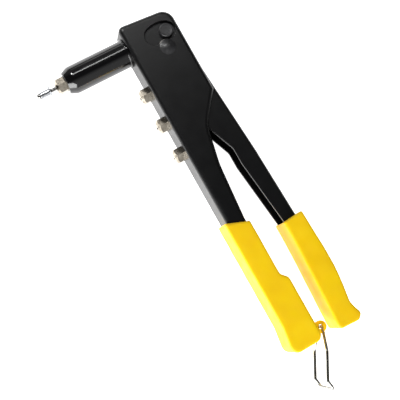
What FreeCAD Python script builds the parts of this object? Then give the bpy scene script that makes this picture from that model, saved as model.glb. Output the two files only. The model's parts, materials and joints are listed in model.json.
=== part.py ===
"""Hand riveter, a lever tool for blind rivets, as separate named pieces.

While the pieces are modelled, X = 0 is the front of the body's spine and X grows towards the lever
side, Y = 0 is the nose axis and Y grows towards the head, and Z = 0 is the middle of the tool.
The nose points along -X.  At the end everything moves by the origin_* values, so the finished tool
lies on its side with its lowest point at Z = 0 and the middle of its box at X = Y = 0.
The handles are modelled closed.  Depths are measured along +X and drops along -Y.
"""
import FreeCAD, Part
import Sketcher
import os
import re

from FreeCAD import Placement, Rotation, Vector

SIZES = [
    # body channel: sheet, head, waist, neck and front arm
    ("body_sheet", 2.0), ("body_width", 24.0), ("body_bend", 3.2), ("body_bend_inside", 1.2),
    ("head_depth", 40.0), ("head_front_rise", 16.4), ("head_rear_rise", 13.4),
    ("head_front_round", 4.0), ("head_rear_round", 9.0), ("head_drop", 52.3), ("head_foot_round", 3.0),
    ("waist_depth", 23.2), ("waist_drop", 73.0), ("waist_round", 30.0),
    ("neck_depth", 17.0), ("neck_drop", 101.0), ("neck_round", 60.0),
    ("sheet_edge", 0.35),
    ("arm_depth", 13.4), ("arm_drop", 142.0), ("arm_end_drop", 226.0), ("hole_play", 0.05),
    # fulcrum, drive pin and the arc slot
    ("fulcrum_depth", 25.4), ("crank", 12.1), ("swing", 44.6), ("slot_half_width", 6.95),
    ("fulcrum_radius", 3.5), ("dome_radius", 5.65), ("dome_height", 1.6), ("dome_round", 1.4),
    ("drive_radius", 3.0), ("drive_head_radius", 4.9), ("drive_head_height", 3.4),
    ("drive_head_round", 1.2), ("drive_overhang", 2.7), ("bush_wall", 1.0), ("bush_end_play", 0.4),
    ("clip_wall", 1.8), ("clip_thick", 0.8), ("clip_play", 0.15), ("clip_groove", 0.6), ("clip_grip", 0.1),
    ("washer_radius", 6.5), ("washer_play", 0.05),
    # lever channel
    ("lever_sheet", 1.8), ("lever_side_play", 0.4), ("lever_bend", 2.6), ("elbow_round", 7.5),
    ("lever_disc", 20.3), ("lever_depth", 40.2), ("lever_spine_drop", 22.0), ("lever_knee_drop", 30.0),
    ("lever_mid_depth", 45.2), ("lever_mid_drop", 106.0), ("lever_offset_drop", 108.0),
    ("lever_offset", 2.0), ("lever_offset_run", 53.0), ("lever_lean", 2.3), ("lever_end_drop", 229.0),
    ("lever_arm_thick", 10.2), ("lever_mid_thick", 14.2), ("cheek_depth", 19.5), ("cheek_drop", 67.0),
    ("elbow_drop", 96.0), ("shoulder_angle", 15.0),
    # nose: adapter, barrel and nozzles
    ("barrel_radius", 10.0), ("barrel_length", 48.5), ("barrel_cone", 5.0), ("barrel_nose_radius", 7.7),
    ("barrel_bore", 7.8), ("barrel_front_wall", 4.1), ("collar_radius", 10.7), ("collar_length", 1.8),
    ("spigot_radius", 8.0), ("spigot_length", 5.9), ("spigot_bore", 6.7), ("flange_play", 0.1),
    ("flange_thick", 3.0), ("seat_wall", 1.8), ("nozzle_flats", 10.0), ("nozzle_hex", 5.4),
    ("nozzle_tip", 1.9), ("nozzle_tip_radius", 3.4), ("nozzle_thread_radius", 4.0),
    ("nozzle_boss_radius", 3.3), ("nozzle_countersink", 0.6), ("spare_first_drop", 33.4),
    ("spare_pitch", 24.0), ("spare_thread_length", 5.0), ("spare_boss_length", 1.0),
    ("bore_48", 1.55), ("bore_40", 1.35), ("bore_32", 1.15), ("bore_24", 0.95),
    # jaw case and what is in it
    ("run_gap", 0.3), ("case_radius", 7.5), ("case_mouth", 4.0), ("case_bore", 6.4), ("seat_angle", 9.0),
    ("rod_thread_radius", 5.0), ("rod_thread_length", 4.1), ("thread_play", 0.05), ("rod_radius", 4.0),
    ("jaw_set_back", 3.0), ("jaw_length", 10.5), ("jaw_play", 0.25), ("jaw_split", 0.4),
    ("pusher_radius", 6.1), ("pusher_nose_radius", 5.4), ("pusher_nose", 1.6), ("pusher_length", 4.0),
    ("pusher_bore", 1.9), ("nut_flats", 12.0), ("nut_thick", 2.7), ("eye_wall", 2.0),
    ("eye_thick", 8.0), ("return_wire", 1.2), ("return_turns", 4.5), ("jaw_wire", 0.6),
    ("jaw_turns", 2.5), ("jaw_coil_radius", 4.6), ("rod_bore", 1.9), ("rod_bore_end", 8.0),
    # blind rivet
    ("rivet_gap", 4.0), ("rivet_radius", 2.4), ("rivet_length", 7.0), ("rivet_flange_radius", 5.2),
    ("rivet_flange_thick", 1.1), ("mandrel_radius", 1.45), ("mandrel_tail", 30.5),
    ("mandrel_head_radius", 2.15), ("mandrel_head_length", 2.4), ("mandrel_head_round", 1.0),
    # grips
    ("grip_width", 27.0), ("grip_play", 0.1), ("grip_edge", 1.1), ("front_grip_wall", 2.0),
    ("front_rim_drop", 138.5), ("front_rim_slant", 6.5), ("front_rear_wall", 1.8),
    ("front_step_drop", 187.0), ("front_step", 4.4), ("front_step_run", 4.6), ("front_end_drop", 239.8),
    ("front_heel", 2.0), ("front_heel_drop", 234.0), ("front_flare_drop", 220.0), ("front_round", 5.0),
    ("rim_overrun", 3.0),
    ("lug_depth", 24.6), ("lug_drop", 233.4), ("lug_radius", 4.4), ("lug_hole", 1.8), ("lug_thick", 5.0),
    ("rear_bend_drop", 175.0),
    ("rear_rim_drop", 157.5), ("rear_front_wall", 1.7), ("rear_rear_wall", 3.6), ("rear_end_drop", 241.6),
    ("rear_heel", 3.4), ("rear_heel_drop", 238.0), ("rear_flare_drop", 228.0), ("rear_round", 2.6),
    ("rear_crown", 3.2), ("rear_crown_drop", 203.0), ("rear_crown_round", 160.0),
    # wire bail
    ("wire_radius", 1.1), ("bail_half_width", 15.0), ("bail_stub", 4.6), ("bail_flare", 16.4),
    ("bail_leg", 36.5), ("bail_tip", 6.6), ("bail_angle", 29.5), ("bail_bend", 37.0),
    ("bail_wire_round", 2.6), ("bail_end_gap", 0.6),
]

DRIVE_DEPTH = "fulcrum_depth + crank * sin(swing / 2)"
FULCRUM_DROP = "crank * (1 + cos(swing / 2)) / 2"
DRIVE_RISE = "crank * cos(swing / 2) - " + FULCRUM_DROP
STROKE = "2 * crank * sin(swing / 2)"
CASE_FRONT = "(barrel_length - barrel_front_wall - run_gap - " + STROKE + ")"
CASE_REAR = "(spigot_length + run_gap + nut_thick)"
LEVER_WIDTH = "(body_width - 2 * body_sheet - 2 * lever_side_play)"
JAWS_FRONT = "(" + CASE_FRONT + " - jaw_set_back)"
JAWS_REAR = "(" + JAWS_FRONT + " - jaw_length)"
PUSHER_REAR = "(" + JAWS_REAR + " - run_gap - pusher_length)"
ROD_FRONT = "(" + CASE_REAR + " + rod_thread_length)"
BUSH_RADIUS = "(drive_radius + bush_wall)"
FAR = "60"  # past the head on every side, for cuts that run right out of a piece

doc = FreeCAD.newDocument("hand_riveter")
sheet = doc.addObject("Spreadsheet::Sheet", "Sizes")
for row, (alias, value) in enumerate(SIZES + [("origin_x", 0), ("origin_y", 0), ("origin_z", 0)], 1):
    sheet.set("A%d" % row, alias)
    sheet.set("B%d" % row, str(value))
    sheet.setAlias("B%d" % row, alias)
ORIGIN_CELLS = {axis: "B%d" % (len(SIZES) + i) for i, axis in enumerate("xyz", 1)}
doc.recompute()
pieces = []


def bound(text):
    """The same formula with every size's name pointing at the sheet."""
    return re.sub(r"\b(?!sin\b|cos\b|tan\b)([a-z]\w*)", r"Sizes.\1", text)


def number(text):
    return float(sheet.evalExpression(bound(text)))


def tie(obj, path, text):
    obj.setExpression(path, bound(text))


def finish_piece(obj, label, seat=("0", "0", "0")):
    """Name a sub-part and tie its place to its seat and the tool's origin."""
    obj.Label = label
    for axis, text in zip("xyz", seat):
        tie(obj, "Placement.Base." + axis, text + " + origin_" + axis)
    pieces.append(obj)
    return obj


# ---- PartDesign helpers ----------------------------------------------------------------------

def new_body(name):
    return doc.addObject("PartDesign::Body", name)


def new_sketch(body, role):
    sketch = body.newObject("Sketcher::SketchObject", body.Name + "_sketch")
    plane = next(o for o in body.Origin.OriginFeatures if o.Role == role)
    sketch.AttachmentSupport = (plane, "")
    sketch.MapMode = "FlatFace"
    return sketch


def tie_constraint(sketch, constraint, text):
    index = sketch.addConstraint(constraint)
    tie(sketch, "Constraints[%d]" % index, text)


def place_point(sketch, geometry, point, u, v):
    """Hold one sketch point at sheet-driven distances from the sketch's origin."""
    for kind, text in (("DistanceX", u), ("DistanceY", v)):
        tie_constraint(sketch, Sketcher.Constraint(kind, -1, 1, geometry, point, number(text)), text)


def outline(body, role, points):
    """A closed outline of straight edges, every corner tied to the sheet."""
    sketch = new_sketch(body, role)
    corners = [Vector(number(u), number(v), 0) for u, v in points]
    count = len(corners)
    for i, corner in enumerate(corners):
        sketch.addGeometry(Part.LineSegment(corner, corners[(i + 1) % count]), False)
    for i in range(count):
        sketch.addConstraint(Sketcher.Constraint("Coincident", i, 2, (i + 1) % count, 1))
    for i, (u, v) in enumerate(points):
        place_point(sketch, i, 1, u, v)
    return sketch


def disc(body, role, u, v, radius):
    """A circle tied to the sheet."""
    sketch = new_sketch(body, role)
    centre = Vector(number(u), number(v), 0)
    sketch.addGeometry(Part.Circle(centre, Vector(0, 0, 1), number(radius)), False)
    place_point(sketch, 0, 3, u, v)
    tie_constraint(sketch, Sketcher.Constraint("Radius", 0, number(radius)), radius)
    return sketch


def pad(body, sketch, length):
    feature = body.newObject("PartDesign::Pad", body.Name + "_pad")
    feature.Profile = sketch
    feature.SideType = "Symmetric"
    tie(feature, "Length", length)
    doc.recompute()
    return feature


def pocket(body, sketch, length):
    """Cut a sketch out to both sides of its plane, and make sure that it did cut."""
    before = body.Tip.Shape.Volume
    feature = body.newObject("PartDesign::Pocket", body.Name + "_pocket")
    feature.Profile = sketch
    feature.SideType = "Symmetric"
    tie(feature, "Length", length)
    doc.recompute()
    if feature.Shape.Volume > before - 1e-3:
        raise RuntimeError(feature.Label + " removes nothing")
    return feature


def turned(body, profile, role="XY_Plane", axis="H_Axis"):
    """Revolve a profile of (along, radius) or (radius, along) points about a sketch axis."""
    sketch = outline(body, role, profile)
    feature = body.newObject("PartDesign::Revolution", body.Name + "_turn")
    feature.Profile = sketch
    feature.ReferenceAxis = (sketch, [axis])
    feature.Angle = 360
    doc.recompute()
    return feature


def heading(edge):
    """Unit vector from one end of an edge to the other, or zero for a closed edge."""
    run = edge.Vertexes[-1].Point - edge.Vertexes[0].Point
    return run.normalize() if run.Length > 1e-6 else Vector()


def edges_where(shape, test):
    names = []
    for i, edge in enumerate(shape.Edges, 1):
        if test(edge, edge.valueAt((edge.FirstParameter + edge.LastParameter) / 2)):
            names.append("Edge%d" % i)
    if not names:
        raise RuntimeError("no edge found to round")
    return names


def rounded(body, radius, test):
    """Round the edges of the body's last feature that pass the test."""
    base = body.Tip
    names = edges_where(base.Shape, test)
    feature = body.newObject("PartDesign::Fillet", body.Name + "_round")
    feature.Base = (base, names)
    tie(feature, "Radius", radius)
    doc.recompute()
    if "Invalid" in feature.State or feature.Shape.isNull():
        raise RuntimeError("%s cannot be rounded by %s" % (body.Name, radius))
    return feature


def corner_test(*places):
    """Edges along Z through one of these (u, v) places."""
    spots = [Vector(number(u), number(v), 0) for u, v in places]

    def test(edge, middle):
        flat = Vector(middle.x, middle.y, 0)
        return abs(heading(edge).z) > 0.99 and any(flat.distanceToPoint(p) < 0.02 for p in spots)
    return test


def rim_test(half_width):
    """Edges lying in the two side faces at +-half_width."""
    side = number(half_width)

    def test(edge, middle):
        ends = [v.Point.z for v in edge.Vertexes]
        return all(abs(abs(z) - side) < 0.01 for z in ends) and abs(abs(middle.z) - side) < 0.01
    return test


def open_rim_test(half_width):
    """Edges in the side faces, apart from the rims of the two pin holes."""
    on_side = rim_test(half_width)
    pins = [(Vector(number("fulcrum_depth"), -number(FULCRUM_DROP), 0), number("fulcrum_radius") + 1),
            (Vector(number(DRIVE_DEPTH), number(DRIVE_RISE), 0), number("drive_radius") + 1)]

    def test(edge, middle):
        flat = Vector(middle.x, middle.y, 0)
        return on_side(edge, middle) and all(flat.distanceToPoint(spot) > reach for spot, reach in pins)
    return test


# ---- Part helpers ----------------------------------------------------------------------------

TURNS = {"x": Rotation(Vector(0, 1, 0), 90), "-x": Rotation(Vector(0, 1, 0), -90), "z": Rotation()}


def solid(kind, name, seat=("0", "0", "0"), along="z", **sizes):
    """A Part primitive with sheet-driven sizes and place, its own Z turned to an axis."""
    obj = doc.addObject("Part::" + kind, name)
    obj.Placement = Placement(Vector(), TURNS[along])
    for prop, text in sizes.items():
        tie(obj, prop, text)
    for axis, text in zip("xyz", seat):
        tie(obj, "Placement.Base." + axis, text)
    return obj


def fuse(name, *shapes):
    obj = doc.addObject("Part::MultiFuse", name)
    obj.Shapes = list(shapes)
    return obj


def cut(name, base, tool):
    obj = doc.addObject("Part::Cut", name)
    obj.Base, obj.Tool = base, tool
    return obj


def common(name, *shapes):
    obj = doc.addObject("Part::MultiCommon", name)
    obj.Shapes = list(shapes)
    return obj


# ---- frame side ------------------------------------------------------------------------------

def make_body_channel():
    """One folded sheet: spine in front, two side plates, arc slots, pin and thread holes."""
    body = new_body("body_channel")
    head_front = ("0", "head_front_rise")
    head_rear = ("head_depth", "head_rear_rise")
    head_foot = ("head_depth", "-head_drop")
    waist = ("waist_depth", "-waist_drop")
    neck = ("neck_depth", "-neck_drop")
    pad(body, outline(body, "XY_Plane", [
        head_front, head_rear, head_foot, waist, neck,
        ("arm_depth", "-arm_drop"), ("arm_depth", "-arm_end_drop"), ("0", "-arm_end_drop"),
    ]), "body_width")
    rounded(body, "head_front_round", corner_test(head_front))
    rounded(body, "head_rear_round", corner_test(head_rear))
    rounded(body, "head_foot_round", corner_test(head_foot))
    rounded(body, "waist_round", corner_test(waist))
    rounded(body, "neck_round", corner_test(neck))

    def on_front(edge, middle):
        return abs(heading(edge).y) > 0.99 and abs(middle.x) < 0.01
    rounded(body, "body_bend", on_front)
    inside = "body_width / 2 - body_sheet"
    pocket(body, outline(body, "XZ_Plane", [
        ("body_sheet", inside), (FAR, inside), (FAR, "-(" + inside + ")"),
        ("body_sheet", "-(" + inside + ")"),
    ]), "4 * arm_end_drop")
    spine_inside = number("body_sheet")

    def in_fold(edge, middle):
        in_spine = abs(middle.x - spine_inside) < 0.01 and abs(middle.z) > 1
        return abs(heading(edge).y) > 0.99 and in_spine
    rounded(body, "body_bend_inside", in_fold)
    pocket(body, disc(body, "YZ_Plane", "0", "0", "spigot_radius + hole_play"), "3 * body_width")
    for i in range(3):
        drop = "-(spare_first_drop + %d * spare_pitch)" % i
        pocket(body, disc(body, "YZ_Plane", drop, "0", "nozzle_thread_radius + hole_play"),
               "3 * body_width")
    pocket(body, disc(body, "XY_Plane", "fulcrum_depth", "-(" + FULCRUM_DROP + ")",
                      "fulcrum_radius + hole_play"), "2 * body_width")
    pocket(body, arc_slot(body), "2 * body_width")
    rounded(body, "sheet_edge", open_rim_test("body_width / 2"))
    return finish_piece(body, "body_channel")


def arc_slot(body):
    """The curved slot in which the drive pin travels, centred on the fulcrum."""
    sketch = new_sketch(body, "XY_Plane")
    centre = Vector(number("fulcrum_depth"), -number(FULCRUM_DROP), 0)
    half_swing, half_width, crank = number("swing / 2"), number("slot_half_width"), number("crank")
    axis = Vector(0, 0, 1)
    spread = FreeCAD.Units.Quantity("%f deg" % half_swing).getValueAs("rad").Value
    upright = FreeCAD.Units.Quantity("90 deg").getValueAs("rad").Value
    half_turn = 2 * upright
    front, rear = upright + spread, upright - spread
    ends = [centre + Rotation(axis, turn).multVec(Vector(0, crank, 0))
            for turn in (half_swing, -half_swing)]

    def arc(middle, radius, first, last):
        return sketch.addGeometry(Part.ArcOfCircle(Part.Circle(middle, axis, radius), first, last), False)
    outer = arc(centre, crank + half_width, rear, front)
    front_cap = arc(ends[0], half_width, front, front + half_turn)
    inner = arc(centre, crank - half_width, rear, front)
    rear_cap = arc(ends[1], half_width, rear - half_turn, rear)
    for one, one_end, other, other_end in (
            (outer, 2, front_cap, 1), (front_cap, 2, inner, 2), (inner, 1, rear_cap, 1),
            (rear_cap, 2, outer, 1)):
        sketch.addConstraint(Sketcher.Constraint("Tangent", one, one_end, other, other_end))
    place_point(sketch, outer, 3, "fulcrum_depth", "-(" + FULCRUM_DROP + ")")
    sketch.addConstraint(Sketcher.Constraint("Coincident", inner, 3, outer, 3))
    for geometry, radius in ((outer, "crank + slot_half_width"), (inner, "crank - slot_half_width")):
        tie_constraint(sketch, Sketcher.Constraint("Radius", geometry, number(radius)), radius)
    for geometry, side in ((front_cap, "-"), (rear_cap, "+")):
        text = "fulcrum_depth " + side + " crank * sin(swing / 2)"
        tie_constraint(sketch, Sketcher.Constraint("DistanceX", -1, 1, geometry, 3, number(text)), text)
    return sketch


def make_adapter():
    """Flanged bush: its flange sits inside the spine and its thread carries the barrel."""
    body = new_body("barrel_adapter")
    flange_radius = "(body_width / 2 - body_sheet - body_bend_inside - flange_play)"
    turned(body, [
        ("-spigot_length", "spigot_bore"), ("-spigot_length", "spigot_radius"),
        ("body_sheet", "spigot_radius"), ("body_sheet", flange_radius),
        ("body_sheet + flange_thick", flange_radius),
        ("body_sheet + flange_thick", "rod_radius + run_gap"),
        ("body_sheet + flange_thick - seat_wall", "rod_radius + run_gap"),
        ("body_sheet + flange_thick - seat_wall", "spigot_bore"),
    ])
    return finish_piece(body, "barrel_adapter")


def make_barrel():
    body = new_body("nose_barrel")
    thread_end = "-(spigot_length + run_gap)"
    turned(body, [
        ("0", "spigot_radius + thread_play"), ("0", "collar_radius"), ("-collar_length", "collar_radius"),
        ("-collar_length", "barrel_radius"), ("-(barrel_length - barrel_cone)", "barrel_radius"),
        ("-barrel_length", "barrel_nose_radius"),
        ("-barrel_length", "nozzle_thread_radius + thread_play"),
        ("-(barrel_length - barrel_front_wall)", "nozzle_thread_radius + thread_play"),
        ("-(barrel_length - barrel_front_wall)", "barrel_bore"), (thread_end, "barrel_bore"),
        (thread_end, "spigot_radius + thread_play"),
    ])
    return finish_piece(body, "nose_barrel")


def make_nozzle(label, bore, thread_length, boss_length, seat):
    """Hex nozzle with a coned tip; its seat face is at its own origin and its tip along -X."""
    hexagon = solid("Prism", label + "_hex", along="-x", Circumradius="nozzle_flats / 2 / cos(30)",
                    Height="nozzle_hex + nozzle_tip")
    hexagon.Polygon = 6
    crown = "(nozzle_flats / 2 / cos(30))"
    tip = solid("Cone", label + "_tip", ("-nozzle_hex", "0", "0"), "-x", Radius1=crown,
                Radius2="nozzle_tip_radius", Height="nozzle_tip")
    sleeve = solid("Cylinder", label + "_sleeve", along="-x", Radius=crown + " + 1", Height="nozzle_hex")
    head = common(label + "_head", hexagon, fuse(label + "_form", tip, sleeve))
    thread = solid("Cylinder", label + "_thread", along="x", Radius="nozzle_thread_radius",
                   Height=thread_length)
    boss = solid("Cylinder", label + "_boss", along="x", Radius="nozzle_boss_radius",
                 Height=thread_length + " + " + boss_length)
    hole = solid("Cylinder", label + "_hole", ("-(nozzle_hex + nozzle_tip + 1)", "0", "0"), "x",
                 Radius=bore, Height="nozzle_hex + nozzle_tip + 2 + " + thread_length + " + " + boss_length)
    mouth = solid("Cone", label + "_mouth", ("-(nozzle_hex + nozzle_tip)", "0", "0"), "x",
                  Radius1=bore + " + nozzle_countersink", Radius2=bore, Height="nozzle_countersink")
    nozzle = cut(label, fuse(label + "_whole", head, thread, boss), fuse(label + "_way", hole, mouth))
    return finish_piece(nozzle, label, seat)


def make_nozzles():
    make_nozzle("nozzle", "bore_48", "barrel_front_wall", "jaw_set_back", ("-barrel_length", "0", "0"))
    for i, bore in enumerate(("bore_40", "bore_32", "bore_24")):
        drop = "-(spare_first_drop + %d * spare_pitch)" % i
        make_nozzle("spare_nozzle_%d" % (i + 1), bore, "spare_thread_length", "spare_boss_length",
                    ("0", drop, "0"))


def make_fulcrum_pin():
    """Pin through both channels, with a low dome at each side of the head."""
    body = new_body("fulcrum_pin")
    face, top = "body_width / 2", "(body_width / 2 + dome_height)"
    turned(body, [
        ("0", "-" + top), ("dome_radius", "-" + top), ("dome_radius", "-" + face),
        ("fulcrum_radius", "-" + face), ("fulcrum_radius", face), ("dome_radius", face),
        ("dome_radius", top), ("0", top),
    ], "XZ_Plane", "V_Axis")
    rounded(body, "dome_round", rim_test(top))
    return finish_piece(body, "fulcrum_pin", ("fulcrum_depth", "-(" + FULCRUM_DROP + ")", "0"))


def make_ring(label, outer, inner, thick, seat):
    """Flat ring whose lower face is at the seat."""
    ring = cut(label, solid("Cylinder", label + "_disc", Radius=outer, Height=thick),
               solid("Cylinder", label + "_hole", ("0", "0", "-1"), Radius=inner, Height=thick + " + 2"))
    return finish_piece(ring, label, seat)


def make_washers():
    thick = "(lever_side_play - 2 * washer_play)"
    lever_face = LEVER_WIDTH + " / 2 + washer_play"
    place = ("fulcrum_depth", "-(" + FULCRUM_DROP + ")")
    for label, level in (("fulcrum_washer_near", lever_face),
                         ("fulcrum_washer_far", "-(" + lever_face + " + " + thick + ")")):
        make_ring(label, "washer_radius", "fulcrum_radius + hole_play", thick, place + (level,))


def make_coil(label, start, end, coil_radius, wire, turns):
    """Round-wire spring along X, with its end coils just inside start and end."""
    low, high, size = number(start), number(end), number(wire)
    pitch = (high - low - size) / number(turns)
    helix = Part.makeHelix(pitch, high - low - size, number(coil_radius))
    section = Part.Wire(Part.Circle(Vector(number(coil_radius), 0, 0), Vector(0, 1, 0), size / 2).toShape())
    obj = doc.addObject("Part::Feature", label)
    obj.Shape = Part.Wire(helix).makePipeShell([section], True, True)
    obj.Placement = Placement(Vector(), TURNS["x"])
    return finish_piece(obj, label, (start + " + " + wire + " / 2", "0", "0"))


# ---- lever side ------------------------------------------------------------------------------

def lever_edge(inset):
    """Back edge of the lever from the disc down to the end, moved in from the back by inset."""
    inset = "(" + inset + ")"
    return [
        ("lever_depth - " + inset, "-lever_knee_drop"),
        ("lever_mid_depth - " + inset, "-lever_mid_drop"),
        ("lever_mid_depth - " + inset, "-lever_offset_drop"),
        ("lever_mid_depth + lever_offset - " + inset, "-(lever_offset_drop + lever_offset_run)"),
        ("lever_mid_depth + lever_offset - lever_lean - " + inset, "-lever_end_drop"),
    ]


def lever_front(play):
    """Front edge of the lever's arm from the elbow down to the end, moved forwards by play."""
    return [
        ("lever_mid_depth - (lever_mid_thick + %s)" % play, "-lever_offset_drop"),
        *lever_edge("lever_arm_thick + " + play)[3:],
    ]


def make_lever_channel():
    """One folded sheet nested in the body: its spine is at the back and it opens forwards."""
    body = new_body("lever_channel")
    pivot = ("fulcrum_depth", "-(" + FULCRUM_DROP + ")")
    pad(body, disc(body, "XY_Plane", pivot[0], pivot[1], "lever_disc"), LEVER_WIDTH)
    back = lever_edge("0")
    front = lever_front("0")
    elbow = ("lever_mid_depth - lever_mid_thick", "-elbow_drop")
    cheek = ("cheek_depth", "-cheek_drop")
    shoulder = ("fulcrum_depth - lever_disc * cos(shoulder_angle)",
                "-(" + FULCRUM_DROP + " + lever_disc * sin(shoulder_angle))")
    pad(body, outline(body, "XY_Plane", [
        shoulder, (back[0][0], "-(" + FULCRUM_DROP + ")"), *back, *reversed(front), elbow, cheek,
    ]), LEVER_WIDTH)
    pocket(body, outline(body, "XY_Plane", [
        ("lever_depth", FAR), (FAR, FAR), (FAR, "-lever_knee_drop"), ("lever_depth", "-lever_knee_drop"),
    ]), "2 * body_width")
    rounded(body, "elbow_round", corner_test(cheek, elbow, front[0], front[1], back[2], back[3]))

    back_depth = number("lever_depth")

    def on_back(edge, middle):
        direction = heading(edge)
        side = abs(abs(middle.z) - number(LEVER_WIDTH + " / 2")) < 0.01
        low = middle.y < -number("lever_spine_drop") and middle.y > -number("lever_end_drop") + 0.1
        behind = middle.x > min(back_depth, number("lever_mid_depth")) - 0.5
        return side and behind and abs(direction.y) > 0.8 and (low or middle.x > back_depth - 0.05)
    rounded(body, "lever_bend", on_back)
    inner = lever_edge("lever_sheet")
    width = LEVER_WIDTH + " - 2 * lever_sheet"
    pocket(body, outline(body, "XY_Plane", [
        ("-1", FAR), (FAR, FAR), (FAR, "-lever_spine_drop"),
        ("lever_depth - lever_sheet", "-lever_spine_drop"),
        *inner[:4], (inner[4][0], "-(lever_end_drop + 1)"), ("-1", "-(lever_end_drop + 1)"),
    ]), width)
    pocket(body, disc(body, "XY_Plane", pivot[0], pivot[1], "fulcrum_radius + 2 * hole_play"),
           "2 * body_width")
    pocket(body, disc(body, "XY_Plane", DRIVE_DEPTH, DRIVE_RISE, "drive_radius + hole_play"),
           "2 * body_width")
    rounded(body, "sheet_edge", open_rim_test(LEVER_WIDTH + " / 2"))
    return finish_piece(body, "lever_channel")


def make_drive_pin():
    """Round-headed pin; the head is on the near side and a clip groove on the far side."""
    body = new_body("drive_pin")
    head_foot = "(" + LEVER_WIDTH + " / 2 + clip_play)"
    top = "(" + head_foot + " + drive_head_height)"
    end = "(" + LEVER_WIDTH + " / 2 + drive_overhang)"
    groove_top = "-(" + LEVER_WIDTH + " / 2 + clip_play)"
    groove_low = "-(" + LEVER_WIDTH + " / 2 + 2 * clip_play + clip_thick)"
    turned(body, [
        ("0", "-" + end), ("drive_radius", "-" + end), ("drive_radius", groove_low),
        ("drive_radius - clip_groove", groove_low), ("drive_radius - clip_groove", groove_top),
        ("drive_radius", groove_top), ("drive_radius", head_foot), ("drive_head_radius", head_foot),
        ("drive_head_radius", top), ("0", top),
    ], "XZ_Plane", "V_Axis")
    level = number(top)
    rounded(body, "drive_head_round", lambda edge, middle: abs(middle.z - level) < 0.01
            and edge.Length > number("drive_head_radius"))
    return finish_piece(body, "drive_pin", (DRIVE_DEPTH, DRIVE_RISE, "0"))


def make_drive_rings():
    inside = "(" + LEVER_WIDTH + " / 2 - lever_sheet - bush_end_play)"
    make_ring("drive_bush", BUSH_RADIUS, "drive_radius + hole_play", "2 * " + inside,
              (DRIVE_DEPTH, DRIVE_RISE, "-" + inside))
    make_ring("drive_clip", "drive_radius + clip_wall", "drive_radius - clip_groove + clip_grip",
              "clip_thick",
              (DRIVE_DEPTH, DRIVE_RISE, "-(" + LEVER_WIDTH + " / 2 + 1.5 * clip_play + clip_thick)"))


# ---- inside the barrel -----------------------------------------------------------------------

def make_jaw_case():
    body = new_body("jaw_case")
    cone_end = "(" + CASE_FRONT + " - (case_bore - case_mouth) / tan(seat_angle))"
    turned(body, [
        ("-" + CASE_FRONT, "case_mouth"), ("-" + CASE_FRONT, "case_radius"),
        ("-" + CASE_REAR, "case_radius"), ("-" + CASE_REAR, "rod_thread_radius + thread_play"),
        ("-" + ROD_FRONT, "rod_thread_radius + thread_play"), ("-" + ROD_FRONT, "case_bore"),
        ("-" + cone_end, "case_bore"),
    ])
    return finish_piece(body, "jaw_case")


def make_pull_rod():
    """Threaded front end, round shank, and an eye slotted across the pull for the drive bush."""
    axis_lift = "((crank - crank * cos(swing / 2)) / 2)"
    tube = solid("Cylinder", "rod_thread", ("-" + ROD_FRONT, "0", "0"), "x", Radius="rod_thread_radius",
                 Height=ROD_FRONT + " - (spigot_length + run_gap)")
    shank = solid("Cylinder", "rod_shank", ("-" + ROD_FRONT, "0", "0"), "x", Radius="rod_radius",
                  Height=ROD_FRONT + " + (" + DRIVE_DEPTH + ") - " + BUSH_RADIUS + " - run_gap")

    def obround(name, radius, length, low):
        ends = [solid("Cylinder", name + side, (DRIVE_DEPTH, sign + axis_lift, low), Radius=radius,
                      Height=length) for side, sign in (("_up", ""), ("_down", "-"))]
        block = solid("Box", name + "_middle", (DRIVE_DEPTH + " - " + radius, "-" + axis_lift, low),
                      Length="2 * " + radius, Width="2 * " + axis_lift, Height=length)
        return fuse(name, block, *ends)
    slot_radius = "(" + BUSH_RADIUS + " + run_gap)"
    eye = obround("rod_eye", "(" + BUSH_RADIUS + " + run_gap + eye_wall)", "eye_thick", "-eye_thick / 2")
    slot = obround("rod_slot", slot_radius, "2 * eye_thick", "-eye_thick")
    bore = solid("Cylinder", "rod_way", ("-(" + ROD_FRONT + " + 1)", "0", "0"), "x", Radius="rod_bore",
                 Height=ROD_FRONT + " + 1 + rod_bore_end")
    rod = cut("pull_rod", fuse("rod_whole", tube, shank, eye), fuse("rod_cuts", slot, bore))
    return finish_piece(rod, "pull_rod")


def make_lock_nut():
    nut = solid("Prism", "nut_hex", along="x", Circumradius="nut_flats / 2 / cos(30)", Height="nut_thick")
    nut.Polygon = 6
    hole = solid("Cylinder", "nut_hole", ("-1", "0", "0"), "x", Radius="rod_thread_radius + thread_play",
                 Height="nut_thick + 2")
    return finish_piece(cut("lock_nut", nut, hole), "lock_nut", ("-" + CASE_REAR, "0", "0"))


def make_jaws():
    """Two halves of one cone that fits the case's seat, split along the nose axis."""
    front_radius = "(case_mouth + jaw_set_back * tan(seat_angle) - jaw_play)"
    rear_radius = "(" + front_radius + " + jaw_length * tan(seat_angle))"
    for label, sign in (("jaw_upper", "+"), ("jaw_lower", "-")):
        cone = solid("Cone", label + "_cone", along="x", Radius1=front_radius, Radius2=rear_radius,
                     Height="jaw_length")
        low = "jaw_split / 2" if sign == "+" else "-(case_radius + jaw_split / 2)"
        half = solid("Box", label + "_half", ("0", low, "-case_radius"), Length="jaw_length",
                     Width="case_radius", Height="2 * case_radius")
        groove = solid("Cylinder", label + "_groove", ("-1", "0", "0"), "x",
                       Radius="mandrel_radius + run_gap", Height="jaw_length + 2")
        jaw = cut(label, common(label + "_wedge", cone, half), groove)
        finish_piece(jaw, label, ("-" + JAWS_FRONT, "0", "0"))


def make_pusher():
    body = new_body("jaw_pusher")
    front = "(" + JAWS_REAR + " - run_gap)"
    turned(body, [
        ("-" + front, "pusher_bore"), ("-" + front, "pusher_nose_radius"),
        ("-(" + front + " - pusher_nose)", "pusher_radius"), ("-" + PUSHER_REAR, "pusher_radius"),
        ("-" + PUSHER_REAR, "pusher_bore"),
    ])
    return finish_piece(body, "jaw_pusher")


# ---- blind rivet -----------------------------------------------------------------------------

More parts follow.
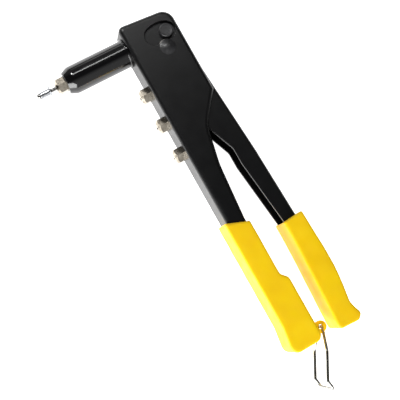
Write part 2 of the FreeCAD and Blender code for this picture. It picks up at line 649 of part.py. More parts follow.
FLANGE_REAR = "(barrel_length + nozzle_hex + nozzle_tip + rivet_gap)"


def make_rivet():
    body = new_body("rivet_body")
    shank_end = "(" + FLANGE_REAR + " + rivet_flange_thick + rivet_length)"
    turned(body, [
        ("-" + shank_end, "mandrel_radius"), ("-" + shank_end, "rivet_radius"),
        ("-(" + FLANGE_REAR + " + rivet_flange_thick)", "rivet_radius"),
        ("-(" + FLANGE_REAR + " + rivet_flange_thick)", "rivet_flange_radius"),
        ("-" + FLANGE_REAR, "rivet_flange_radius"), ("-" + FLANGE_REAR, "mandrel_radius"),
    ])
    finish_piece(body, "rivet_body")
    body = new_body("rivet_mandrel")
    tip = "(" + shank_end + " + mandrel_head_length)"
    turned(body, [
        ("-" + tip, "0"), ("-" + tip, "mandrel_head_radius - mandrel_head_round"),
        ("-(" + tip + " - mandrel_head_round)", "mandrel_head_radius"),
        ("-" + shank_end, "mandrel_head_radius"), ("-" + shank_end, "mandrel_radius"),
        ("-(" + FLANGE_REAR + " - mandrel_tail)", "mandrel_radius"),
        ("-(" + FLANGE_REAR + " - mandrel_tail)", "0"),
    ])
    finish_piece(body, "rivet_mandrel")


# ---- grips and bail --------------------------------------------------------------------------

def make_fixed_grip():
    """Sleeve on the front arm, with a step at the back, a heel in front and a lug for the bail."""
    body = new_body("fixed_grip")
    back = "(arm_depth + front_rear_wall)"
    rim_front = ("-front_grip_wall", "-front_rim_drop")
    rim_back = (back, "-(front_rim_drop + front_rim_slant)")
    flare = ("-front_grip_wall", "-front_flare_drop")
    heel = ("-(front_grip_wall + front_heel)", "-front_heel_drop")
    toe = ("-(front_grip_wall + front_heel / 2)", "-front_end_drop")
    end_back = (back + " + front_step", "-front_end_drop")
    step = (back, "-front_step_drop")
    step_out = (back + " + front_step", "-(front_step_drop + front_step_run)")
    lug_hole = ("lug_depth", "-lug_drop")
    pad(body, outline(body, "XY_Plane", [
        rim_front, rim_back, step, step_out, end_back, toe, heel, flare]), "grip_width")
    rounded(body, "front_round", corner_test(end_back, toe))
    rounded(body, "front_round / 2", corner_test(step_out, step, heel))
    rounded(body, "grip_edge", rim_test("grip_width / 2"))
    pad(body, disc(body, "XY_Plane", lug_hole[0], lug_hole[1], "lug_radius"), "lug_thick")
    pad(body, outline(body, "XY_Plane", [
        (back, "-(lug_drop - lug_radius)"), ("lug_depth", "-(lug_drop - lug_radius)"),
        ("lug_depth", "-(lug_drop + lug_radius)"), (back, "-(lug_drop + lug_radius)"),
    ]), "lug_thick")
    pocket(body, disc(body, "XY_Plane", lug_hole[0], lug_hole[1], "lug_hole"), "2 * grip_width")
    play = "grip_play"
    pocket(body, outline(body, "XY_Plane", [
        ("-" + play, "-(front_rim_drop - rim_overrun)"),
        ("arm_depth + %s + (arm_drop - front_rim_drop + rim_overrun) * (neck_depth - arm_depth)"
         " / (arm_drop - neck_drop)" % play, "-(front_rim_drop - rim_overrun)"),
        ("arm_depth + " + play, "-arm_drop"), ("arm_depth + " + play, "-(arm_end_drop + %s)" % play),
        ("-" + play, "-(arm_end_drop + %s)" % play),
    ]), "body_width + 2 * " + play)
    return finish_piece(body, "fixed_grip")


def make_lever_grip():
    """Sleeve on the lever's arm, leaning with it, with a crowned back and a heel at its end."""
    body = new_body("lever_grip")
    play = "grip_play"
    front_top = "(lever_mid_depth + lever_offset - lever_arm_thick - rear_front_wall)"
    back_top = "(lever_mid_depth + lever_offset + rear_rear_wall)"
    lean = "lever_lean * (%s - lever_offset_drop - lever_offset_run)" \
           " / (lever_end_drop - lever_offset_drop - lever_offset_run)"
    front_end, back_flare = lean % "rear_end_drop", lean % "rear_flare_drop"
    crown = (back_top + " - " + lean % "rear_crown_drop" + " + rear_crown", "-rear_crown_drop")
    rim_front = (front_top, "-rear_rim_drop")
    rim_back = (back_top, "-(rear_rim_drop - 1)")
    bend_front = (front_top, "-rear_bend_drop")
    flare = (back_top + " - " + back_flare, "-rear_flare_drop")
    heel = (back_top + " - " + back_flare + " + rear_heel", "-rear_heel_drop")
    end_back = (back_top + " - " + front_end, "-rear_end_drop")
    end_front = (front_top + " - " + front_end, "-(rear_end_drop - 1)")
    pad(body, outline(body, "XY_Plane", [
        rim_front, rim_back, crown, flare, heel, end_back, end_front, bend_front]), "grip_width")
    rounded(body, "rear_crown_round", corner_test(crown))
    rounded(body, "4 * rear_round", corner_test(flare))
    rounded(body, "rear_round", corner_test(heel, end_back, end_front))
    rounded(body, "grip_edge", rim_test("grip_width / 2"))
    arm_back = lever_edge("-" + play)
    arm_front = lever_front(play)
    pocket(body, outline(body, "XY_Plane", [
        arm_back[2], arm_back[3], (arm_back[4][0], "-(lever_end_drop + %s)" % play),
        (arm_front[2][0], "-(lever_end_drop + %s)" % play), arm_front[1], arm_front[0],
    ]), LEVER_WIDTH + " + 2 * " + play)
    return finish_piece(body, "lever_grip")


def make_bail():
    """Wire loop: two stubs in the lug's hole, flared legs, bent tips and a crossbar."""
    angle, bend = number("bail_angle"), number("bail_angle - bail_bend")
    down = Rotation(Vector(0, 0, 1), -angle).multVec(Vector(0, -1, 0))
    tip_down = Rotation(Vector(0, 0, 1), -bend).multVec(Vector(0, -1, 0))
    side, stub = Vector(0, 0, number("bail_half_width")), Vector(0, 0, number("bail_stub"))
    end = Vector(0, 0, number("bail_end_gap"))
    knee = down * number("bail_leg")
    tip = knee + tip_down * number("bail_tip")
    near = [end, stub, down * number("bail_flare") + side, knee + side, tip + side]

    def mirrored(p):
        return Vector(p.x, p.y, -p.z)
    corners = near + [mirrored(p) for p in reversed(near)]
    path = round_path(corners, number("bail_wire_round"))
    section = Part.Wire(Part.Circle(end, Vector(0, 0, 1), number("wire_radius")).toShape())
    wire = path.makePipeShell([section], True, False)
    obj = doc.addObject("Part::Feature", "bail")
    obj.Shape = wire
    return finish_piece(obj, "bail", ("lug_depth", "-lug_drop", "0"))


def round_path(corners, radius):
    """Straight runs joined by tangent arcs of one radius."""
    edges, last = [], corners[0]
    for before, corner, after in zip(corners, corners[1:], corners[2:]):
        back, on = (before - corner).normalize(), (after - corner).normalize()
        half_angle = back.getAngle(on) / 2
        bisector = (back + on).normalize()
        opening = FreeCAD.Units.Quantity("%f rad" % half_angle)
        tangent = float(sheet.evalExpression("tan(%f)" % opening.getValueAs("deg").Value))
        sine = float(sheet.evalExpression("sin(%f)" % opening.getValueAs("deg").Value))
        start, finish = corner + back * (radius / tangent), corner + on * (radius / tangent)
        middle = corner + bisector * (radius / sine - radius)
        edges.append(Part.LineSegment(last, start).toShape())
        edges.append(Part.Arc(start, middle, finish).toShape())
        last = finish
    edges.append(Part.LineSegment(last, corners[-1]).toShape())
    return Part.Wire(edges)


# ---- build, set the origin, check and write --------------------------------------------------

make_body_channel()
make_adapter()
make_barrel()
make_nozzles()
make_fulcrum_pin()
make_washers()
make_coil("return_spring", "-(spigot_length + run_gap) + thread_play",
          "body_sheet + flange_thick - seat_wall - thread_play",
          "(rod_radius + spigot_bore) / 2", "return_wire", "return_turns")
make_fixed_grip()
make_lever_channel()
make_lever_grip()
make_drive_pin()
make_drive_rings()
make_jaw_case()
make_pull_rod()
make_lock_nut()
make_jaws()
make_pusher()
make_coil("jaw_spring", "-" + PUSHER_REAR + " + thread_play", "-" + ROD_FRONT + " - thread_play",
          "jaw_coil_radius", "jaw_wire", "jaw_turns")
make_bail()
make_rivet()
doc.recompute()

whole = FreeCAD.BoundBox()
for piece in pieces:
    whole.add(piece.Shape.optimalBoundingBox(False, False))
for axis, value in zip("xyz", (-whole.Center.x, -whole.Center.y, -whole.ZMin)):
    sheet.set(ORIGIN_CELLS[axis], repr(round(value, 6)))
doc.recompute()

for obj in doc.Objects:
    if "Invalid" in obj.State or "Error" in obj.State:
        raise RuntimeError("%s failed: %s" % (obj.Label, obj.State))
for piece in pieces:
    if piece.Shape.isNull() or not piece.Shape.isValid() or len(piece.Shape.Solids) != 1:
        raise RuntimeError("%s is not one valid solid" % piece.Label)
os.makedirs("parts", exist_ok=True)
for piece in pieces:
    piece.Shape.exportStep("parts/%s.step" % piece.Label)
print("%d sub-parts, box %.2f x %.2f x %.2f mm"
      % (len(pieces), whole.XLength, whole.YLength, whole.ZLength))
print("origin", number("origin_x"), number("origin_y"), number("origin_z"))
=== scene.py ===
"""Looks of a hand riveter: two folded steel channels in black paint, yellow vinyl grips, a black
barrel with nickel nozzles, a blind rivet and a wire bail.  The tool lies on its side on a pale
floor.  Sizes are in millimetres and MM turns them into metres; places come from the CAD boxes.
"""
import json
import math

import bmesh
import bpy
from mathutils import Matrix, Vector, noise


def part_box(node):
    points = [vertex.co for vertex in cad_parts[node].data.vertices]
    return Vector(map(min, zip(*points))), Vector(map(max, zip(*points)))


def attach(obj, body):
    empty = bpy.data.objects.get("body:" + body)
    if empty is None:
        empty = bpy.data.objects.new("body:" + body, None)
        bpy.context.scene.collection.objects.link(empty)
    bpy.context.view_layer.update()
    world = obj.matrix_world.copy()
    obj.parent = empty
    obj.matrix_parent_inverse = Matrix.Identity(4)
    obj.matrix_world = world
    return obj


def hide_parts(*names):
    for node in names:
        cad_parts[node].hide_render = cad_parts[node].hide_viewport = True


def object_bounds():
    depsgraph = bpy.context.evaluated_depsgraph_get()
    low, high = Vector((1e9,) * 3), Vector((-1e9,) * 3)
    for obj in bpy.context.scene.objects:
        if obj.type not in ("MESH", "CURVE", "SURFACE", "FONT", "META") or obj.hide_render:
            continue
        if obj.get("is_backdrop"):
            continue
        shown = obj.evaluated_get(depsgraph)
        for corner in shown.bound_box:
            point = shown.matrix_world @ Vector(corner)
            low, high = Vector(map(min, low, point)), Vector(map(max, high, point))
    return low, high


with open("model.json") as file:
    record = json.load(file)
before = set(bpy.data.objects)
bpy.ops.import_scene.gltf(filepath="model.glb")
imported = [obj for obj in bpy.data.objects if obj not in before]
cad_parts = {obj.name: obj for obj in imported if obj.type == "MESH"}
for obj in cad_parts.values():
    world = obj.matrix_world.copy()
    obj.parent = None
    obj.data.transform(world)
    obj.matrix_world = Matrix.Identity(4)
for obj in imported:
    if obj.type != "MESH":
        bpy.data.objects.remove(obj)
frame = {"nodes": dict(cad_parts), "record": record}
CAD_LOW, CAD_HIGH = (list(corner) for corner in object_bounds())

MM = 0.001
NODES = frame["nodes"]
RECORD = frame["record"]

X_AXIS, Y_AXIS, Z_AXIS = Vector((1, 0, 0)), Vector((0, 1, 0)), Vector((0, 0, 1))


def middle_of(node):
    low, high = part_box(node)
    return (low + high) / 2


NOSE_ROOT = Vector((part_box("nose_barrel")[1].x, middle_of("nose_barrel").y, middle_of("nose_barrel").z))
BARREL_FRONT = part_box("nose_barrel")[0].x
FLANGE_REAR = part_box("rivet_body")[1].x
FULCRUM = middle_of("fulcrum_pin")
DRIVE = middle_of("drive_bush")


# ---- material helpers --------------------------------------------------------------------------

def linear(hex_colour):
    """An sRGB hex colour as linear RGBA."""
    parts = [int(hex_colour[i:i + 2], 16) / 255 for i in (1, 3, 5)]
    return [c / 12.92 if c <= 0.04045 else ((c + 0.055) / 1.055) ** 2.4 for c in parts] + [1.0]


def add_node(tree, kind, inputs=(), **settings):
    """Adds a node, sets its properties, and fills or links its inputs."""
    node = tree.nodes.new(kind)
    for name, value in settings.items():
        setattr(node, name, value)
    for name, value in dict(inputs).items():
        if isinstance(value, bpy.types.NodeSocket):
            tree.links.new(value, node.inputs[name])
        else:
            node.inputs[name].default_value = value
    return node


def new_material(name, **sockets):
    """A material with one Principled shader, its constant values set on its own sockets."""
    material = bpy.data.materials.new(name)
    material.use_nodes = True
    tree = material.node_tree
    shader = tree.nodes["Principled BSDF"]
    for socket, value in sockets.items():
        shader.inputs[socket.replace("_", " ")].default_value = value
    return material, tree, shader


def per_metre(size_mm):
    """Texture scale whose features come out about size_mm across."""
    return 1 / (size_mm * MM)


def on_object(tree, centre=(0, 0, 0), stretch=(1, 1, 1)):
    """Object coordinates, centred on a place and squeezed along the axes."""
    place = add_node(tree, "ShaderNodeTexCoord").outputs["Object"]
    shifted = add_node(tree, "ShaderNodeMapping", {"Vector": place, "Location": [-c for c in centre]})
    return add_node(tree, "ShaderNodeMapping", {"Vector": shifted.outputs["Vector"], "Scale": stretch},
                    vector_type="POINT").outputs["Vector"]


def cloud(tree, place, size_mm, low, high, detail=2.0):
    """Noise with features of one size, spread between two values."""
    grain = add_node(tree, "ShaderNodeTexNoise",
                     {"Vector": place, "Scale": per_metre(size_mm), "Detail": detail})
    return add_node(tree, "ShaderNodeMapRange", {"Value": grain.outputs["Fac"], "From Min": 0.3,
                                                 "From Max": 0.7, "To Min": low, "To Max": high}
                    ).outputs["Result"]


def blended(tree, factor, one, other):
    """Two hex colours, mixed by a factor."""
    mix = add_node(tree, "ShaderNodeMix", {}, data_type="RGBA")
    mix.inputs[6].default_value, mix.inputs[7].default_value = linear(one), linear(other)
    tree.links.new(factor, mix.inputs[0])
    return mix.outputs[2]


def relief(tree, height, depth_mm, under=None):
    """A bump of a real depth, on top of another bump if one is given."""
    inputs = {"Height": height, "Strength": 1.0, "Distance": depth_mm * MM}
    if under is not None:
        inputs["Normal"] = under
    return add_node(tree, "ShaderNodeBump", inputs).outputs["Normal"]


def corner_wear_and_highlight(tree, place, radius_mm):
    """Near 1 on a convex or concave corner, broken up by noise, and 0 on open faces: the mask of rubbed
    paint and of a painted edge highlight.
    """
    soft = add_node(tree, "ShaderNodeBevel", {"Radius": radius_mm * MM}, samples=6).outputs["Normal"]
    true = add_node(tree, "ShaderNodeNewGeometry").outputs["Normal"]
    match = add_node(tree, "ShaderNodeVectorMath", {0: soft, 1: true}, operation="DOT_PRODUCT")
    corner = add_node(tree, "ShaderNodeMapRange", {"Value": match.outputs["Value"], "From Min": 0.99,
                                                   "From Max": 0.85, "To Min": 0.0, "To Max": 1.0})
    broken = cloud(tree, place, 2.2, 0.0, 1.0, detail=4.0)
    return add_node(tree, "ShaderNodeMath", {0: corner.outputs["Result"], 1: broken},
                    operation="MULTIPLY").outputs["Value"]


# ---- finishes ----------------------------------------------------------------------------------

def satin_black_paint(name):
    """Powder coat on folded steel: black, softly glossy, with orange peel, and corners lighter grey as
    rubbed paint and partly a painted edge highlight.
    """
    material, tree, shader = new_material(name, IOR=1.5)
    place = on_object(tree)
    wear_and_highlight = corner_wear_and_highlight(tree, place, 0.5)
    tone = blended(tree, cloud(tree, place, 14, 0.0, 1.0), "#080809", "#0b0b0c")
    mix = add_node(tree, "ShaderNodeMix", {}, data_type="RGBA")
    # lighter grey on the corners: rubbed paint, and partly a painted highlight along the edges
    mix.inputs[7].default_value = linear("#3a3937")
    tree.links.new(wear_and_highlight, mix.inputs[0])
    tree.links.new(tone, mix.inputs[6])
    tree.links.new(mix.outputs[2], shader.inputs["Base Color"])
    tree.links.new(cloud(tree, place, 9, 0.3, 0.34, detail=5.0), shader.inputs["Roughness"])
    peel = relief(tree, cloud(tree, place, 1.1, 0.0, 1.0), 0.006)
    tree.links.new(peel, shader.inputs["Normal"])
    return material


def gloss_black_enamel():
    """Baked enamel on a turned barrel: deep black, sharp reflections, a trace of the lathe below."""
    material, tree, shader = new_material("gloss_black_enamel", Base_Color=linear("#070708"), IOR=1.52,
                                          Coat_Weight=0.3, Coat_Roughness=0.05)
    place = on_object(tree)
    tree.links.new(cloud(tree, place, 6, 0.09, 0.17, detail=4.0), shader.inputs["Roughness"])
    lathe = add_node(tree, "ShaderNodeTexWave", {"Vector": place, "Scale": per_metre(0.7) / (2 * math.pi),
                                                 "Distortion": 0.4}, bands_direction="X")
    rings = relief(tree, lathe.outputs["Fac"], 0.0006)
    tree.links.new(relief(tree, cloud(tree, place, 1.6, 0.0, 1.0), 0.003, rings), shader.inputs["Normal"])
    return material


def black_oxide_pin(name, centre):
    """Turned steel blackened in a bath: dark grey, dull, with the tool's rings on its end face."""
    material, tree, shader = new_material(name, IOR=1.6)
    place = on_object(tree, centre)
    turning = add_node(tree, "ShaderNodeTexWave", {"Vector": place, "Scale": per_metre(0.9) / (2 * math.pi),
                                                   "Distortion": 0.6}, wave_type="RINGS",
                       rings_direction="Z")
    tree.links.new(blended(tree, cloud(tree, place, 2.5, 0.0, 1.0, detail=4.0), "#171718", "#28282a"),
                   shader.inputs["Base Color"])
    tree.links.new(cloud(tree, place, 1.5, 0.3, 0.46), shader.inputs["Roughness"])
    tree.links.new(relief(tree, turning.outputs["Fac"], 0.002), shader.inputs["Normal"])
    return material


def nickel_plate():
    """Nickel over machined hexagon bar: a warm silver with faint cutter marks and dull patches."""
    material, tree, shader = new_material("nickel_plate", Metallic=1.0)
    place = on_object(tree)
    tree.links.new(blended(tree, cloud(tree, place, 3, 0.0, 1.0, detail=4.0), "#9f9688", "#cdc5b6"),
                   shader.inputs["Base Color"])
    tree.links.new(cloud(tree, place, 1.4, 0.12, 0.24, detail=4.0), shader.inputs["Roughness"])
    marks = cloud(tree, on_object(tree, stretch=(1, 0.08, 0.08)), 0.35, 0.0, 1.0)
    tree.links.new(relief(tree, marks, 0.004), shader.inputs["Normal"])
    return material


def yellow_vinyl():
    """Moulded soft vinyl: saturated yellow, waxy, with a fine mould grain and slight mottling."""
    material, tree, shader = new_material("yellow_vinyl", IOR=1.42, Subsurface_Weight=0.08,
                                          Subsurface_Radius=(1.0, 0.55, 0.1), Subsurface_Scale=1.2 * MM)
    place = on_object(tree)
    tree.links.new(blended(tree, cloud(tree, place, 18, 0.0, 1.0, detail=3.0), "#f8c800", "#fdd300"),
                   shader.inputs["Base Color"])
    tree.links.new(cloud(tree, place, 5, 0.4, 0.56, detail=4.0), shader.inputs["Roughness"])
    # mould grain is about 0.2 mm; drawn at 0.7 mm so that it can be seen
    grain = relief(tree, cloud(tree, place, 0.7, 0.0, 1.0, detail=3.0), 0.012)
    tree.links.new(grain, shader.inputs["Normal"])
    return material


def bright_wire():
    """Drawn and plated spring wire: bright, with fine die lines and a few dull spots."""
    material, tree, shader = new_material("bright_wire", Metallic=1.0)
    place = on_object(tree)
    tree.links.new(blended(tree, cloud(tree, place, 4, 0.0, 1.0, detail=4.0), "#8d8c88", "#b9b8b3"),
                   shader.inputs["Base Color"])
    tree.links.new(cloud(tree, place, 1.2, 0.12, 0.28, detail=4.0), shader.inputs["Roughness"])
    die_lines = cloud(tree, on_object(tree, stretch=(1, 0.06, 1)), 0.3, 0.0, 1.0)
    tree.links.new(relief(tree, die_lines, 0.003), shader.inputs["Normal"])
    return material


def turned_steel():
    """Plain steel off the lathe: grey rings along the nose axis, patchy under a film of oil."""
    material, tree, shader = new_material("turned_steel", Metallic=1.0)
    place = on_object(tree)
    tree.links.new(blended(tree, cloud(tree, place, 5, 0.0, 1.0, detail=4.0), "#77736d", "#9a9896"),
                   shader.inputs["Base Color"])
    tree.links.new(cloud(tree, place, 2, 0.22, 0.4, detail=4.0), shader.inputs["Roughness"])
    lathe = add_node(tree, "ShaderNodeTexWave", {"Vector": place, "Scale": per_metre(0.5) / (2 * math.pi),
                                                 "Distortion": 0.5}, bands_direction="X")
    tree.links.new(relief(tree, lathe.outputs["Fac"], 0.006), shader.inputs["Normal"])
    return material


def drawn_metal(name, dark, light, low, high):
    """Cold drawn bar or wire along the nose axis: long fine streaks."""
    material, tree, shader = new_material(name, Metallic=1.0)
    streaks = cloud(tree, on_object(tree, stretch=(0.05, 1, 1)), 0.4, 0.0, 1.0, detail=3.0)
    tree.links.new(blended(tree, streaks, dark, light), shader.inputs["Base Color"])
    tree.links.new(cloud(tree, on_object(tree), 1.5, low, high), shader.inputs["Roughness"])
    tree.links.new(relief(tree, streaks, 0.004), shader.inputs["Normal"])
    return material


FINISHES = {
    "body_paint": satin_black_paint("body_paint"),
    "lever_paint": satin_black_paint("lever_paint"),
    "barrel_black": gloss_black_enamel(),
    "pin_black": black_oxide_pin("fulcrum_black_oxide", FULCRUM),
    "nickel": nickel_plate(),
    "grip_yellow": yellow_vinyl(),
    "bright_wire": bright_wire(),
    "inner_steel": turned_steel(),
    "rivet_aluminium": drawn_metal("rivet_aluminium", "#8e9093", "#c2c4c7", 0.2, 0.32),
    "mandrel_steel": drawn_metal("mandrel_steel", "#7f7e7c", "#b4b3b1", 0.16, 0.3),
}


def finish_nodes():
    """Every CAD node gets the finish of its slot in the record."""
    for subpart in RECORD["subparts"]:
        node = NODES[subpart["node"]]
        node.data.materials.clear()
        node.data.materials.append(FINISHES[subpart["material_slot"]])


# ---- pieces ------------------------------------------------------------------------------------

SPIN_STEPS = 96
SHARP_ANGLE = math.radians(40)


def new_piece(name, mesh, body, slot, *nodes, finish=None):
    """Puts a finished mesh in the scene, on its body, in place of its CAD nodes."""
    piece = bpy.data.objects.new(name, mesh)
    bpy.context.scene.collection.objects.link(piece)
    mesh.materials.clear()
    mesh.materials.append(finish or FINISHES[slot])
    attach(piece, body)
    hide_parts(*nodes)
    return piece


def smooth_mesh(name, bm):
    mesh = bpy.data.meshes.new(name)
    bm.to_mesh(mesh)
    bm.free()
    mesh.shade_smooth()
    mesh.set_sharp_from_angle(angle=SHARP_ANGLE)
    return mesh


def turned(name, outline, seat, heading):
    """Turns an outline of (along, radius, rounding) corners in mm about a heading from a seat."""
    bm = bmesh.new()
    verts = [bm.verts.new((along * MM, radius * MM, 0)) for along, radius, _ in outline]
    closed = outline[0][1] > 0
    for one, other in zip(verts, verts[1:] + verts[:1] * closed):
        bm.edges.new((one, other))
    for vert, (_, _, rounding) in zip(verts, outline):
        if rounding:
            bmesh.ops.bevel(bm, geom=[vert], offset=rounding * MM, affect="VERTICES", segments=5,
                            profile=0.5, material=-1)
    bmesh.ops.spin(bm, geom=bm.verts[:] + bm.edges[:], cent=(0, 0, 0), axis=X_AXIS,
                   angle=2 * math.pi, steps=SPIN_STEPS, use_merge=True)
    bmesh.ops.remove_doubles(bm, verts=bm.verts, dist=1e-3 * MM)
    turn = X_AXIS.rotation_difference(heading).to_matrix().to_4x4()
    bmesh.ops.transform(bm, matrix=Matrix.Translation(seat) @ turn, verts=bm.verts)
    bmesh.ops.recalc_face_normals(bm, faces=bm.faces)
    return smooth_mesh(name, bm)


def make_barrel():
    """Barrel with a rolled foot, a softened shoulder and a countersunk front hole."""
    length = (NOSE_ROOT.x - BARREL_FRONT) / MM
    cone, front_wall, bore, thread = 5.0, 4.1, 7.8, 4.05
    mesh = turned("barrel", [
        (0, 8.05, 0.0), (0, 10.7, 0.35), (1.7, 10.7, 0.35), (1.9, 10.0, 0.1),
        (length - cone, 10.0, 1.4), (length, 7.7, 0.5), (length, thread + 0.3, 0.15),
        (length - 0.4, thread, 0.0), (length - front_wall, thread, 0.0), (length - front_wall, bore, 0.5),
        (6.2, bore, 0.0), (6.2, 8.05, 0.0),
    ], NOSE_ROOT, -X_AXIS)
    new_piece("barrel", mesh, "frame", "barrel_black", "nose_barrel")


def make_fulcrum():
    """Pin with a low dome at each side that runs softly down to the plate."""
    shank, dome, dome_height = 3.5, 5.65, 1.6
    half = (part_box("fulcrum_pin")[1].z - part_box("fulcrum_pin")[0].z) / 2 / MM
    face = half - dome_height
    near = [(face, shank, 0.0), (face, dome, 0.1), (face + 0.2, 5.0, 0.5), (face + 0.7, 3.9, 1.0),
            (half - 0.15, 2.0, 1.2), (half, 0, 0.0)]
    far = [(-along, radius, rounding) for along, radius, rounding in reversed(near)]
    new_piece("fulcrum", turned("fulcrum", far + near, FULCRUM, Z_AXIS), "frame", "pin_black",
              "fulcrum_pin")


def make_drive_pin():
    """Flat round head with a turned rim, a shank, and the far end behind its clip groove."""
    low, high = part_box("drive_pin")
    head_top, end = (high.z - DRIVE.z) / MM, (low.z - DRIVE.z) / MM
    shank, neck, head, head_height, groove = 3.0, 2.4, 4.9, 3.4, 0.07
    head_foot = head_top - head_height
    clip_low, clip_high = ((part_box("drive_clip")[i].z - DRIVE.z) / MM for i in (0, 1))
    mesh = turned("drive_pin_head", [
        (end, 0, 0.0), (end, shank, 0.5), (clip_low - groove, shank, 0.0),
        (clip_low - groove, neck, 0.0), (clip_high + groove, neck, 0.0),
        (clip_high + groove, shank, 0.0), (head_foot, shank, 0.0),
        (head_foot, head, 0.2), (head_top, head, 0.7), (head_top, 3.9, 0.1), (head_top - 0.12, 3.6, 0.1),
        (head_top - 0.12, 0, 0.0),
    ], DRIVE, Z_AXIS)
    new_piece("drive_pin_head", mesh, "lever", "pin_black", "drive_pin",
              finish=black_oxide_pin("drive_black_oxide", DRIVE))


def make_rivet():
    """Blind rivet: a domed flange on a tube, and a mandrel with a swaged head."""
    rear = Vector((FLANGE_REAR, NOSE_ROOT.y, NOSE_ROOT.z))
    shank_end = (FLANGE_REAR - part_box("rivet_body")[0].x) / MM
    wire, tube, flange = 1.45, 2.4, 5.2
    mesh = turned("blind_rivet", [
        (0, wire, 0.0), (0, 2.6, 0.6), (0.5, flange - 0.1, 0.15), (0.95, flange, 0.2), (1.1, 4.8, 0.1),
        (1.1, tube, 0.2), (shank_end, tube, 0.25), (shank_end, wire, 0.0),
    ], rear, -X_AXIS)
    new_piece("blind_rivet", mesh, "rivet", "rivet_aluminium", "rivet_body")
    tip = (FLANGE_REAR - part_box("rivet_mandrel")[0].x) / MM
    tail = (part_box("rivet_mandrel")[1].x - FLANGE_REAR) / MM
    mesh = turned("mandrel", [
        (-tail, 0, 0.0), (-tail, wire, 0.3), (shank_end - 0.02, wire, 0.0), (shank_end, 2.15, 0.1),
        (tip - 0.9, 2.15, 0.6), (tip, 1.1, 0.5), (tip, 0, 0.0),
    ], rear, -X_AXIS)
    new_piece("mandrel", mesh, "rivet", "mandrel_steel", "rivet_mandrel")


def make_soft_grip(name, node, body):
    """The sleeve's CAD form with softened edges, a moulding seam and the slight waves of soft vinyl."""
    voxel, seam_half, seam_height, wave_size, wave_height = 0.7, 0.55, 0.12, 11.0, 0.16
    smoothing_passes = 3
    centre = middle_of(node).z
    bm = bmesh.new()
    bm.from_mesh(NODES[node].data)
    bmesh.ops.remove_doubles(bm, verts=bm.verts, dist=1e-3 * MM)
    draft = bpy.data.objects.new(name + "_draft", smooth_mesh(name + "_draft", bm))
    bpy.context.scene.collection.objects.link(draft)
    remesh = draft.modifiers.new("even", "REMESH")
    remesh.mode, remesh.voxel_size = "VOXEL", voxel * MM
    remeshed = bpy.data.meshes.new_from_object(draft.evaluated_get(bpy.context.evaluated_depsgraph_get()))
    bpy.data.objects.remove(draft)
    bm = bmesh.new()
    bm.from_mesh(remeshed)
    for _ in range(smoothing_passes):
        bmesh.ops.smooth_vert(bm, verts=bm.verts, factor=0.5, use_axis_x=True, use_axis_y=True,
                              use_axis_z=True)
    bm.normal_update()
    for vert in bm.verts:
        off_seam = abs(vert.co.z - centre) / (seam_half * MM)
        seam = seam_height * max(0.0, 1 - off_seam) * (1 - abs(vert.normal.z))
        wave = wave_height * noise.noise(vert.co / (wave_size * MM))
        vert.co += vert.normal * (seam + wave - wave_height / 2) * MM
    new_piece(name, smooth_mesh(name, bm), body, "grip_yellow", node)


def make_bail():
    """The CAD wire with its seams merged, so that light runs along it without facets."""
    bm = bmesh.new()
    bm.from_mesh(NODES["bail"].data)
    bmesh.ops.remove_doubles(bm, verts=bm.verts, dist=1e-3 * MM)
    new_piece("wire_bail", smooth_mesh("wire_bail", bm), "bail_body", "bright_wire", "bail")


# ---- stage -------------------------------------------------------------------------------------

CAMERA_AT = NOSE_ROOT + Vector((-0.1312, -0.1488, 0.5897))
CAMERA_AIM = NOSE_ROOT + Vector((-0.0058, -0.1157, 0))
CAMERA_ROLL = -29.37
CAMERA_LENS = 78.0


def make_camera():
    data = bpy.data.cameras.new("camera")
    data.lens = CAMERA_LENS
    data.sensor_width = 36
    camera = bpy.data.objects.new("camera", data)
    bpy.context.scene.collection.objects.link(camera)
    ahead = (CAMERA_AIM - CAMERA_AT).normalized()
    side = ahead.cross(Y_AXIS).normalized()
    turn = Matrix((side, side.cross(ahead), -ahead)).transposed()
    turn = turn @ Matrix.Rotation(math.radians(CAMERA_ROLL), 3, "Z")
    camera.matrix_world = Matrix.Translation(CAMERA_AT) @ turn.to_4x4()
    bpy.context.scene.camera = camera


FLOOR_HALF = 3
FLOOR_GLOW = 1.1


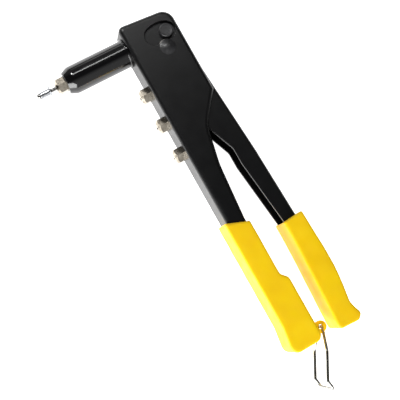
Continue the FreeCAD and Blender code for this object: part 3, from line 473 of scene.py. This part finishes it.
def make_floor():
    """A lit white table: it brightens the edges that face down and sideways."""
    bm = bmesh.new()
    bmesh.ops.create_grid(bm, x_segments=1, y_segments=1, size=FLOOR_HALF)
    bmesh.ops.translate(bm, verts=bm.verts, vec=(0, 0, CAD_LOW[2]))
    mesh = bpy.data.meshes.new("floor")
    bm.to_mesh(mesh)
    bm.free()
    floor = bpy.data.objects.new("floor", mesh)
    bpy.context.scene.collection.objects.link(floor)
    material, _, _ = new_material("pale_floor", Base_Color=linear("#f6f6f6"), Roughness=0.9,
                                  Emission_Color=(1, 1, 1, 1), Emission_Strength=FLOOR_GLOW)
    mesh.materials.append(material)
    floor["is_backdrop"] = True


def area_light(name, place, aim, size, power):
    data = bpy.data.lights.new(name, "AREA")
    data.shape = "RECTANGLE"
    data.size, data.size_y = size
    data.energy = power
    light = bpy.data.objects.new(name, data)
    bpy.context.scene.collection.objects.link(light)
    light.location = place
    light.rotation_euler = (Vector(aim) - Vector(place)).to_track_quat("-Z", "Y").to_euler()


def make_world():
    """A dim room, which keeps the black deep, with one soft wall below the tool and one above it."""
    world = bpy.data.worlds.new("studio")
    bpy.context.scene.world = world
    world.use_nodes = True
    tree = world.node_tree
    place = add_node(tree, "ShaderNodeTexCoord").outputs["Generated"]
    way = add_node(tree, "ShaderNodeSeparateXYZ", {0: place})
    near = add_node(tree, "ShaderNodeMapRange", {"Value": way.outputs["Y"], "From Min": -0.25,
                                                 "From Max": -0.65, "To Min": 0.0, "To Max": 0.5})
    far = add_node(tree, "ShaderNodeMapRange", {"Value": way.outputs["Y"], "From Min": 0.55,
                                                "From Max": 0.85, "To Min": 0.04, "To Max": 0.2})
    level = add_node(tree, "ShaderNodeMath", {0: near.outputs["Result"], 1: far.outputs["Result"]},
                     operation="ADD")
    tree.links.new(level.outputs["Value"], tree.nodes["Background"].inputs["Strength"])
    tree.nodes["Background"].inputs["Color"].default_value = (1, 1, 1, 1)


# name: (place in metres, aim, width and height, watts)
LIGHTS = {
    "strip": ((0.10, 0.53, 0.81), (0, 0.1, 0), (0.5, 0.07), 1.3),  # the line along the barrel
    "dome_glint": ((-0.13, 0.72, 0.8), (0.02, 0.12, 0.03), (0.16, 0.16), 3.0),
    "low_wall": ((-0.9, -0.9, 0.5), (0, 0, 0), (1.4, 0.9), 33.0),  # lights the grips from their side
    "nozzle_card": ((0.26, 1.13, 0.31), (0, 0, 0), (0.35, 0.2), 0.3),
}


def make_lights():
    for name, setting in LIGHTS.items():
        area_light(name, *setting)


finish_nodes()
make_camera()
make_barrel()
make_fulcrum()
make_drive_pin()
make_rivet()
make_soft_grip("front_grip", "fixed_grip", "frame")
make_soft_grip("rear_grip", "lever_grip", "lever")
make_bail()
make_floor()
make_world()
make_lights()
bpy.context.scene.view_settings.view_transform = "Standard"
